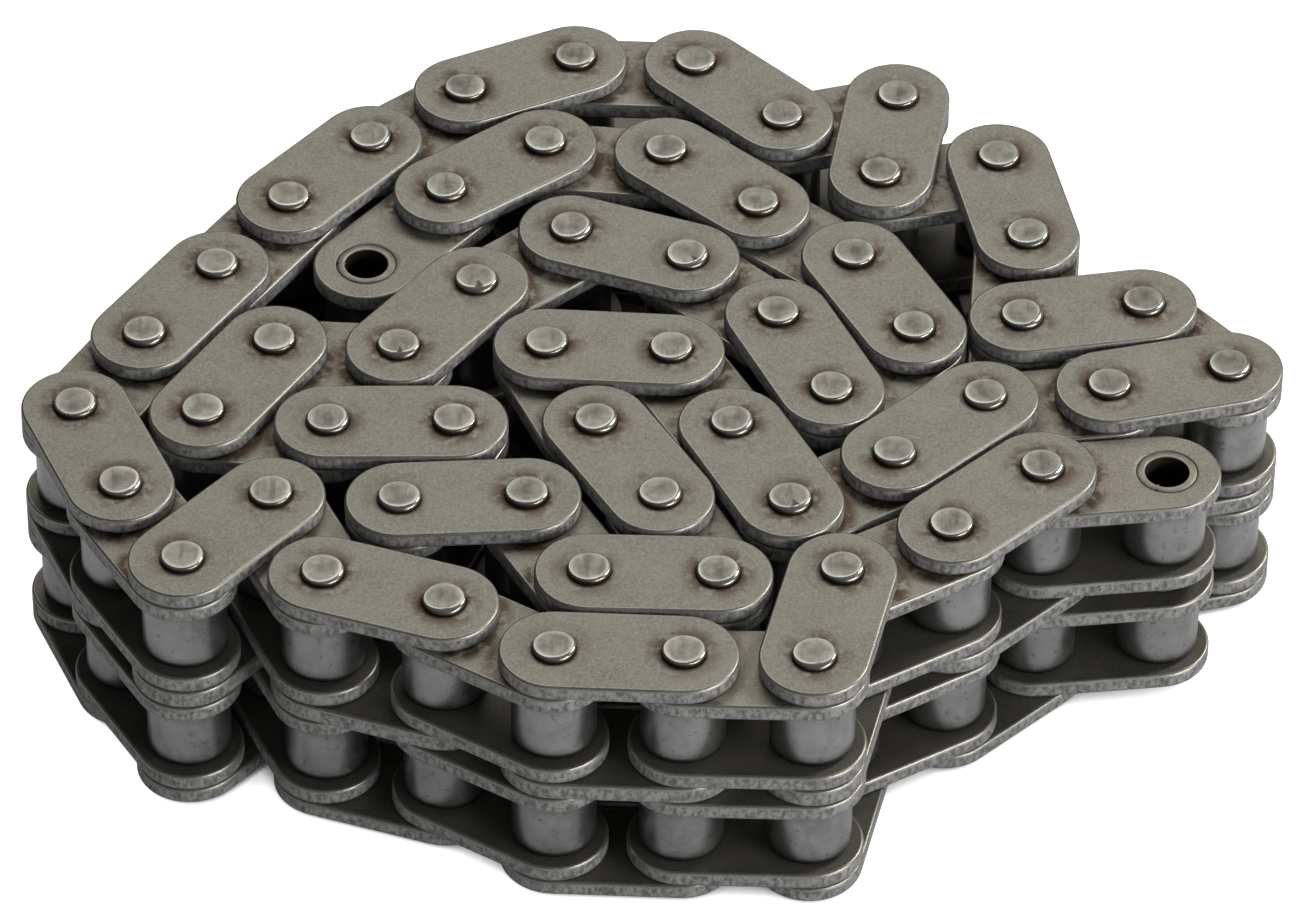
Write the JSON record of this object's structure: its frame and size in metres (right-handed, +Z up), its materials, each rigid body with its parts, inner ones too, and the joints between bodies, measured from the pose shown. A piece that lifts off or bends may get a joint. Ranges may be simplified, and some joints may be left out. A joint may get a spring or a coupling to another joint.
{
  "type": "timing chain",
  "caption": "Open duplex roller chain for driving a camshaft, with round pin heads, straight-sided plates and a roller link at each end, lying in a loose crumpled coil.",
  "frame": {"origin": "middle of the coil's outline in plan, on the surface that the pin ends rest on", "axes": "+X right and +Y away from the viewer as the chain lies in the picture, +Z up along the pins"},
  "size_m": [0.0956, 0.0764, 0.0225],
  "materials": {
    "roller_link_steel": "tumbled and oiled, with brown stains",
    "pin_link_steel": "tumbled and oiled, burnished pin heads",
    "roller_steel": "smooth, oiled"
  },
  "bodies": {
    "roller_link_01": {"roller_link_01": "roller_link_steel"},
    "pin_link_01": {"pin_link_01": "pin_link_steel"},
    "roller_link_02": {"roller_link_02": "roller_link_steel"},
    "pin_link_02": {"pin_link_02": "pin_link_steel"},
    "roller_link_03": {"roller_link_03": "roller_link_steel"},
    "pin_link_03": {"pin_link_03": "pin_link_steel"},
    "roller_link_04": {"roller_link_04": "roller_link_steel"},
    "pin_link_04": {"pin_link_04": "pin_link_steel"},
    "roller_link_05": {"roller_link_05": "roller_link_steel"},
    "pin_link_05": {"pin_link_05": "pin_link_steel"},
    "roller_link_06": {"roller_link_06": "roller_link_steel"},
    "pin_link_06": {"pin_link_06": "pin_link_steel"},
    "roller_link_07": {"roller_link_07": "roller_link_steel"},
    "pin_link_07": {"pin_link_07": "pin_link_steel"},
    "roller_link_08": {"roller_link_08": "roller_link_steel"},
    "pin_link_08": {"pin_link_08": "pin_link_steel"},
    "roller_link_09": {"roller_link_09": "roller_link_steel"},
    "pin_link_09": {"pin_link_09": "pin_link_steel"},
    "roller_link_10": {"roller_link_10": "roller_link_steel"},
    "pin_link_10": {"pin_link_10": "pin_link_steel"},
    "roller_link_11": {"roller_link_11": "roller_link_steel"},
    "pin_link_11": {"pin_link_11": "pin_link_steel"},
    "roller_link_12": {"roller_link_12": "roller_link_steel"},
    "pin_link_12": {"pin_link_12": "pin_link_steel"},
    "roller_link_13": {"roller_link_13": "roller_link_steel"},
    "pin_link_13": {"pin_link_13": "pin_link_steel"},
    "roller_link_14": {"roller_link_14": "roller_link_steel"},
    "pin_link_14": {"pin_link_14": "pin_link_steel"},
    "roller_link_15": {"roller_link_15": "roller_link_steel"},
    "pin_link_15": {"pin_link_15": "pin_link_steel"},
    "roller_link_16": {"roller_link_16": "roller_link_steel"},
    "pin_link_16": {"pin_link_16": "pin_link_steel"},
    "roller_link_17": {"roller_link_17": "roller_link_steel"},
    "pin_link_17": {"pin_link_17": "pin_link_steel"},
    "roller_link_18": {"roller_link_18": "roller_link_steel"},
    "pin_link_18": {"pin_link_18": "pin_link_steel"},
    "roller_link_19": {"roller_link_19": "roller_link_steel"},
    "pin_link_19": {"pin_link_19": "pin_link_steel"},
    "roller_link_20": {"roller_link_20": "roller_link_steel"},
    "pin_link_20": {"pin_link_20": "pin_link_steel"},
    "roller_link_21": {"roller_link_21": "roller_link_steel"},
    "pin_link_21": {"pin_link_21": "pin_link_steel"},
    "roller_link_22": {"roller_link_22": "roller_link_steel"},
    "pin_link_22": {"pin_link_22": "pin_link_steel"},
    "roller_link_23": {"roller_link_23": "roller_link_steel"},
    "pin_link_23": {"pin_link_23": "pin_link_steel"},
    "roller_link_24": {"roller_link_24": "roller_link_steel"},
    "pin_link_24": {"pin_link_24": "pin_link_steel"},
    "roller_link_25": {"roller_link_25": "roller_link_steel"},
    "pin_link_25": {"pin_link_25": "pin_link_steel"},
    "roller_link_26": {"roller_link_26": "roller_link_steel"},
    "pin_link_26": {"pin_link_26": "pin_link_steel"},
    "roller_link_27": {"roller_link_27": "roller_link_steel"},
    "pin_link_27": {"pin_link_27": "pin_link_steel"},
    "roller_link_28": {"roller_link_28": "roller_link_steel"},
    "pin_link_28": {"pin_link_28": "pin_link_steel"},
    "roller_link_29": {"roller_link_29": "roller_link_steel"},
    "end_roller_lower": {"end_roller_lower": "roller_steel"},
    "end_roller_upper": {"end_roller_upper": "roller_steel"}
  },
  "joints": [
    {"name": "pin_turn_01", "type": "hinge", "parent": "pin_link_01", "child": "roller_link_01", "pos_m": [0.02916, -0.0134, 0.01125], "axis": [0, 0, -1], "range_deg": [-156.5, 84.5]},
    {"name": "pin_turn_02", "type": "hinge", "parent": "roller_link_02", "child": "pin_link_01", "pos_m": [0.02219, -0.0199, 0.01125], "axis": [0, 0, -1], "range_deg": [-108.5, 132.5]},
    {"name": "pin_turn_03", "type": "hinge", "parent": "pin_link_02", "child": "roller_link_02", "pos_m": [0.01403, -0.0248, 0.01125], "axis": [0, 0, -1], "range_deg": [-166.5, 74.5]},
    {"name": "pin_turn_04", "type": "hinge", "parent": "roller_link_03", "child": "pin_link_02", "pos_m": [0.01189, -0.03408, 0.01125], "axis": [0, 0, -1], "range_deg": [-42.5, 198.5]},
    {"name": "pin_turn_05", "type": "hinge", "parent": "pin_link_03", "child": "roller_link_03", "pos_m": [0.00236, -0.03392, 0.01125], "axis": [0, 0, -1], "range_deg": [-119.4, 121.5]},
    {"name": "pin_turn_06", "type": "hinge", "parent": "roller_link_04", "child": "pin_link_03", "pos_m": [-0.00716, -0.03359, 0.01125], "axis": [0, 0, -1], "range_deg": [-91.5, 149.5]},
    {"name": "pin_turn_07", "type": "hinge", "parent": "pin_link_04", "child": "roller_link_04", "pos_m": [-0.01532, -0.02868, 0.01125], "axis": [0, 0, -1], "range_deg": [-133.5, 107.5]},
    {"name": "pin_turn_08", "type": "hinge", "parent": "roller_link_05", "child": "pin_link_04", "pos_m": [-0.02438, -0.02574, 0.01125], "axis": [0, 0, -1], "range_deg": [-74.5, 166.5]},
    {"name": "pin_turn_09", "type": "hinge", "parent": "pin_link_05", "child": "roller_link_05", "pos_m": [-0.02856, -0.01718, 0.01125], "axis": [0, 0, -1], "range_deg": [-233.5, 7.5]},
    {"name": "pin_turn_10", "type": "hinge", "parent": "roller_link_06", "child": "pin_link_05", "pos_m": [-0.0348, -0.02436, 0.01125], "axis": [0, 0, -1], "range_deg": [-13.4, 227.5]},
    {"name": "pin_turn_11", "type": "hinge", "parent": "pin_link_06", "child": "roller_link_06", "pos_m": [-0.03985, -0.01629, 0.01125], "axis": [0, 0, -1], "range_deg": [-112.5, 128.5]},
    {"name": "pin_turn_12", "type": "hinge", "parent": "roller_link_07", "child": "pin_link_06", "pos_m": [-0.04373, -0.00759, 0.01125], "axis": [0, 0, -1], "range_deg": [-66.5, 174.5]},
    {"name": "pin_turn_13", "type": "hinge", "parent": "pin_link_07", "child": "roller_link_07", "pos_m": [-0.03896, 0.00066, 0.01125], "axis": [0, 0, -1], "range_deg": [-117.5, 123.4]},
    {"name": "pin_turn_14", "type": "hinge", "parent": "roller_link_08", "child": "pin_link_07", "pos_m": [-0.03378, 0.00865, 0.01125], "axis": [0, 0, -1], "range_deg": [-120.5, 120.5]},
    {"name": "pin_turn_15", "type": "hinge", "parent": "pin_link_08", "child": "roller_link_08", "pos_m": [-0.02859, 0.01664, 0.01125], "axis": [0, 0, -1], "range_deg": [-113.5, 127.5]},
    {"name": "pin_turn_16", "type": "hinge", "parent": "roller_link_09", "child": "pin_link_08", "pos_m": [-0.02247, 0.02394, 0.01125], "axis": [0, 0, -1], "range_deg": [-110.5, 130.5]},
    {"name": "pin_turn_17", "type": "hinge", "parent": "pin_link_09", "child": "roller_link_09", "pos_m": [-0.01517, 0.03006, 0.01125], "axis": [0, 0, -1], "range_deg": [-105.4, 135.5]},
    {"name": "pin_turn_18", "type": "hinge", "parent": "roller_link_10", "child": "pin_link_09", "pos_m": [-0.00654, 0.03408, 0.01125], "axis": [0, 0, -1], "range_deg": [-93.5, 147.4]},
    {"name": "pin_turn_19", "type": "hinge", "parent": "pin_link_10", "child": "roller_link_10", "pos_m": [0.00298, 0.03375, 0.01125], "axis": [0, 0, -1], "range_deg": [-78.4, 162.5]},
    {"name": "pin_turn_20", "type": "hinge", "parent": "roller_link_11", "child": "pin_link_10", "pos_m": [0.00983, 0.02714, 0.01125], "axis": [0, 0, -1], "range_deg": [-180.5, 60.4]},
    {"name": "pin_turn_21", "type": "hinge", "parent": "pin_link_11", "child": "roller_link_11", "pos_m": [0.01899, 0.02976, 0.01125], "axis": [0, 0, -1], "range_deg": [-5.4, 235.5]},
    {"name": "pin_turn_22", "type": "hinge", "parent": "roller_link_12", "child": "pin_link_11", "pos_m": [0.0175, 0.02035, 0.01125], "axis": [0, 0, -1], "range_deg": [-232.5, 8.5]},
    {"name": "pin_turn_23", "type": "hinge", "parent": "pin_link_12", "child": "roller_link_12", "pos_m": [0.02678, 0.0225, 0.01125], "axis": [0, 0, -1], "range_deg": [-29.5, 211.5]},
    {"name": "pin_turn_24", "type": "hinge", "parent": "roller_link_13", "child": "pin_link_12", "pos_m": [0.02876, 0.01318, 0.01125], "axis": [0, 0, -1], "range_deg": [-104.4, 136.5]},
    {"name": "pin_turn_25", "type": "hinge", "parent": "pin_link_13", "child": "roller_link_13", "pos_m": [0.0281, 0.00368, 0.01125], "axis": [0, 0, -1], "range_deg": [-224.5, 16.5]},
    {"name": "pin_turn_26", "type": "hinge", "parent": "roller_link_14", "child": "pin_link_13", "pos_m": [0.03748, 0.00533, 0.01125], "axis": [0, 0, -1], "range_deg": [-61.5, 179.5]},
    {"name": "pin_turn_27", "type": "hinge", "parent": "pin_link_14", "child": "roller_link_14", "pos_m": [0.04373, -0.00186, 0.01125], "axis": [0, 0, -1], "range_deg": [-3.5, 237.5]},
    {"name": "pin_turn_28", "type": "hinge", "parent": "roller_link_15", "child": "pin_link_14", "pos_m": [0.03448, -0.00416, 0.01125], "axis": [0, 0, -1], "range_deg": [-114.5, 126.4]},
    {"name": "pin_turn_29", "type": "hinge", "parent": "pin_link_15", "child": "roller_link_15", "pos_m": [0.02505, -0.00549, 0.01125], "axis": [0, 0, -1], "range_deg": [-155.5, 85.5]},
    {"name": "pin_turn_30", "type": "hinge", "parent": "roller_link_16", "child": "pin_link_15", "pos_m": [0.01809, -0.01198, 0.01125], "axis": [0, 0, -1], "range_deg": [-111.5, 129.5]},
    {"name": "pin_turn_31", "type": "hinge", "parent": "roller_link_16", "child": "pin_link_16", "pos_m": [0.01019, -0.01731, 0.01125], "axis": [0, 0, 1], "range_deg": [0, 45.9]},
    {"name": "pin_turn_32", "type": "hinge", "parent": "pin_link_16", "child": "roller_link_17", "pos_m": [0.00586, -0.00882, 0.01125], "axis": [0, 0, 1], "range_deg": [-122.5, 118.5]},
    {"name": "pin_turn_33", "type": "hinge", "parent": "roller_link_17", "child": "pin_link_17", "pos_m": [0.00125, -0.00049, 0.01125], "axis": [0, 0, 1], "range_deg": [-178.5, 62.4]},
    {"name": "pin_turn_34", "type": "hinge", "parent": "pin_link_17", "child": "roller_link_18", "pos_m": [-0.00826, 0.00001, 0.01125], "axis": [0, 0, 1], "range_deg": [-237.4, 3.5]},
    {"name": "pin_turn_35", "type": "hinge", "parent": "roller_link_18", "child": "pin_link_18", "pos_m": [-0.00439, -0.00869, 0.01125], "axis": [0, 0, 1], "range_deg": [-127.5, 113.4]},
    {"name": "pin_turn_36", "type": "hinge", "parent": "pin_link_18", "child": "roller_link_19", "pos_m": [0.00052, -0.01686, 0.01125], "axis": [0, 0, 1], "range_deg": [-116.5, 124.5]},
    {"name": "pin_turn_37", "type": "hinge", "parent": "roller_link_19", "child": "pin_link_19", "pos_m": [0.00484, -0.02535, 0.01125], "axis": [0, 0, 1], "range_deg": [-2.5, 238.5]},
    {"name": "pin_turn_38", "type": "hinge", "parent": "pin_link_19", "child": "roller_link_20", "pos_m": [-0.00468, -0.02518, 0.01125], "axis": [0, 0, 1], "range_deg": [-61.4, 179.5]},
    {"name": "pin_turn_39", "type": "hinge", "parent": "roller_link_20", "child": "pin_link_20", "pos_m": [-0.00945, -0.01693, 0.01125], "axis": [0, 0, 1], "range_deg": [-184.5, 56.5]},
    {"name": "pin_turn_40", "type": "hinge", "parent": "pin_link_20", "child": "roller_link_21", "pos_m": [-0.01895, -0.0176, 0.01125], "axis": [0, 0, 1], "range_deg": [-2.5, 238.5]},
    {"name": "pin_turn_41", "type": "hinge", "parent": "roller_link_21", "child": "pin_link_21", "pos_m": [-0.01507, -0.00889, 0.01125], "axis": [0, 0, 1], "range_deg": [-235.5, 5.4]},
    {"name": "pin_turn_42", "type": "hinge", "parent": "pin_link_21", "child": "roller_link_22", "pos_m": [-0.0246, -0.00906, 0.01125], "axis": [0, 0, 1], "range_deg": [-113.4, 127.5]},
    {"name": "pin_turn_43", "type": "hinge", "parent": "roller_link_22", "child": "pin_link_22", "pos_m": [-0.03407, -0.00806, 0.01125], "axis": [0, 0, 1], "range_deg": [-4.5, 236.5]},
    {"name": "pin_turn_44", "type": "hinge", "parent": "pin_link_22", "child": "roller_link_23", "pos_m": [-0.02902, 0.00001, 0.01125], "axis": [0, 0, 1], "range_deg": [-59.4, 181.5]},
    {"name": "pin_turn_45", "type": "hinge", "parent": "roller_link_23", "child": "pin_link_23", "pos_m": [-0.01951, -0.00049, 0.01125], "axis": [0, 0, 1], "range_deg": [-176.5, 64.4]},
    {"name": "pin_turn_46", "type": "hinge", "parent": "pin_link_23", "child": "roller_link_24", "pos_m": [-0.01378, 0.00712, 0.01125], "axis": [0, 0, 1], "range_deg": [-108.5, 132.5]},
    {"name": "pin_turn_47", "type": "hinge", "parent": "roller_link_24", "child": "pin_link_24", "pos_m": [-0.00659, 0.01337, 0.01125], "axis": [0, 0, 1], "range_deg": [-60.5, 180.4]},
    {"name": "pin_turn_48", "type": "hinge", "parent": "pin_link_24", "child": "roller_link_25", "pos_m": [0.00242, 0.01027, 0.01125], "axis": [0, 0, 1], "range_deg": [-96.5, 144.4]},
    {"name": "pin_turn_49", "type": "hinge", "parent": "roller_link_25", "child": "pin_link_25", "pos_m": [0.00938, 0.00377, 0.01125], "axis": [0, 0, 1], "range_deg": [-98.5, 142.5]},
    {"name": "pin_turn_50", "type": "hinge", "parent": "pin_link_25", "child": "roller_link_26", "pos_m": [0.01341, -0.00486, 0.01125], "axis": [0, 0, 1], "range_deg": [-233.5, 7.5]},
    {"name": "pin_turn_51", "type": "hinge", "parent": "roller_link_26", "child": "pin_link_26", "pos_m": [0.01978, 0.00222, 0.01125], "axis": [0, 0, 1], "range_deg": [-190.5, 50.4]},
    {"name": "pin_turn_52", "type": "hinge", "parent": "pin_link_26", "child": "roller_link_27", "pos_m": [0.01531, 0.01063, 0.01125], "axis": [0, 0, 1], "range_deg": [-143.5, 97.5]},
    {"name": "pin_turn_53", "type": "hinge", "parent": "roller_link_27", "child": "pin_link_27", "pos_m": [0.00791, 0.01662, 0.01125], "axis": [0, 0, 1], "range_deg": [-118.5, 122.5]},
    {"name": "pin_turn_54", "type": "hinge", "parent": "pin_link_27", "child": "roller_link_28", "pos_m": [0.00072, 0.02287, 0.01125], "axis": [0, 0, 1], "range_deg": [-156.5, 84.5]},
    {"name": "pin_turn_55", "type": "hinge", "parent": "roller_link_28", "child": "pin_link_28", "pos_m": [-0.00877, 0.0237, 0.01125], "axis": [0, 0, 1], "range_deg": [-162.5, 78.5]},
    {"name": "pin_turn_56", "type": "hinge", "parent": "pin_link_28", "child": "roller_link_29", "pos_m": [-0.01638, 0.01797, 0.01125], "axis": [0, 0, 1], "range_deg": [-134.4, 106.5]},
    {"name": "end_roller_lower_spin", "type": "hinge", "parent": "roller_link_01", "child": "end_roller_lower", "pos_m": [0.03861, -0.01224, 0.00613], "axis": [0, 0, 1], "continuous": true},
    {"name": "end_roller_upper_spin", "type": "hinge", "parent": "roller_link_01", "child": "end_roller_upper", "pos_m": [0.03861, -0.01224, 0.01637], "axis": [0, 0, 1], "continuous": true}
  ],
  "couplings": [
    {"joint": "pin_turn_01", "follows": "pin_turn_31", "ratio": -0.78214},
    {"joint": "pin_turn_02", "follows": "pin_turn_31", "ratio": 0.24401},
    {"joint": "pin_turn_03", "follows": "pin_turn_31", "ratio": -1},
    {"joint": "pin_turn_04", "follows": "pin_turn_31", "ratio": 1},
    {"joint": "pin_turn_05", "follows": "pin_turn_31", "ratio": 0.24401},
    {"joint": "pin_turn_06", "follows": "pin_turn_31", "ratio": 0.63181},
    {"joint": "pin_turn_07", "follows": "pin_turn_31", "ratio": -0.28322},
    {"joint": "pin_turn_08", "follows": "pin_turn_31", "ratio": 1},
    {"joint": "pin_turn_09", "follows": "pin_turn_31", "ratio": -1},
    {"joint": "pin_turn_10", "follows": "pin_turn_31", "ratio": 1},
    {"joint": "pin_turn_11", "follows": "pin_turn_31", "ratio": 0.24401},
    {"joint": "pin_turn_12", "follows": "pin_turn_31", "ratio": 1},
    {"joint": "pin_turn_13", "follows": "pin_turn_31", "ratio": 0.24401},
    {"joint": "pin_turn_14", "follows": "pin_turn_31", "ratio": -0.24401},
    {"joint": "pin_turn_15", "follows": "pin_turn_31", "ratio": 0.24401},
    {"joint": "pin_turn_16", "follows": "pin_turn_31", "ratio": 0.24401},
    {"joint": "pin_turn_17", "follows": "pin_turn_31", "ratio": 0.33115},
    {"joint": "pin_turn_18", "follows": "pin_turn_31", "ratio": 0.59041},
    {"joint": "pin_turn_19", "follows": "pin_turn_31", "ratio": 0.62963},
    {"joint": "pin_turn_20", "follows": "pin_turn_31", "ratio": -1},
    {"joint": "pin_turn_21", "follows": "pin_turn_31", "ratio": 0.68845},
    {"joint": "pin_turn_22", "follows": "pin_turn_31", "ratio": -1},
    {"joint": "pin_turn_23", "follows": "pin_turn_31", "ratio": 0.5512},
    {"joint": "pin_turn_24", "follows": "pin_turn_31", "ratio": 0.25055},
    {"joint": "pin_turn_25", "follows": "pin_turn_31", "ratio": -1},
    {"joint": "pin_turn_26", "follows": "pin_turn_31", "ratio": 0.46187},
    {"joint": "pin_turn_27", "follows": "pin_turn_31", "ratio": 0.79956},
    {"joint": "pin_turn_28", "follows": "pin_turn_31", "ratio": 0.24401},
    {"joint": "pin_turn_29", "follows": "pin_turn_31", "ratio": -0.76035},
    {"joint": "pin_turn_30", "follows": "pin_turn_31", "ratio": 0.24401},
    {"joint": "pin_turn_32", "follows": "pin_turn_31", "ratio": -0.24401},
    {"joint": "pin_turn_33", "follows": "pin_turn_31", "ratio": -1},
    {"joint": "pin_turn_34", "follows": "pin_turn_31", "ratio": -1},
    {"joint": "pin_turn_35", "follows": "pin_turn_31", "ratio": -0.24401},
    {"joint": "pin_turn_36", "follows": "pin_turn_31", "ratio": 0.24401},
    {"joint": "pin_turn_37", "follows": "pin_turn_31", "ratio": 0.69499},
    {"joint": "pin_turn_38", "follows": "pin_turn_31", "ratio": 0.18518},
    {"joint": "pin_turn_39", "follows": "pin_turn_31", "ratio": -1},
    {"joint": "pin_turn_40", "follows": "pin_turn_31", "ratio": 0.5207},
    {"joint": "pin_turn_41", "follows": "pin_turn_31", "ratio": -1},
    {"joint": "pin_turn_42", "follows": "pin_turn_31", "ratio": 0.24401},
    {"joint": "pin_turn_43", "follows": "pin_turn_31", "ratio": 0.72113},
    {"joint": "pin_turn_44", "follows": "pin_turn_31", "ratio": 1},
    {"joint": "pin_turn_45", "follows": "pin_turn_31", "ratio": -1},
    {"joint": "pin_turn_46", "follows": "pin_turn_31", "ratio": 0.24401},
    {"joint": "pin_turn_47", "follows": "pin_turn_31", "ratio": 1},
    {"joint": "pin_turn_48", "follows": "pin_turn_31", "ratio": 0.52288},
    {"joint": "pin_turn_49", "follows": "pin_turn_31", "ratio": 0.47495},
    {"joint": "pin_turn_50", "follows": "pin_turn_31", "ratio": -0.61874},
    {"joint": "pin_turn_51", "follows": "pin_turn_31", "ratio": -0.1634},
    {"joint": "pin_turn_52", "follows": "pin_turn_31", "ratio": -0.22222},
    {"joint": "pin_turn_53", "follows": "pin_turn_31", "ratio": 0.24401},
    {"joint": "pin_turn_54", "follows": "pin_turn_31", "ratio": -0.78649},
    {"joint": "pin_turn_55", "follows": "pin_turn_31", "ratio": -0.91285},
    {"joint": "pin_turn_56", "follows": "pin_turn_31", "ratio": -0.30719}
  ]
}
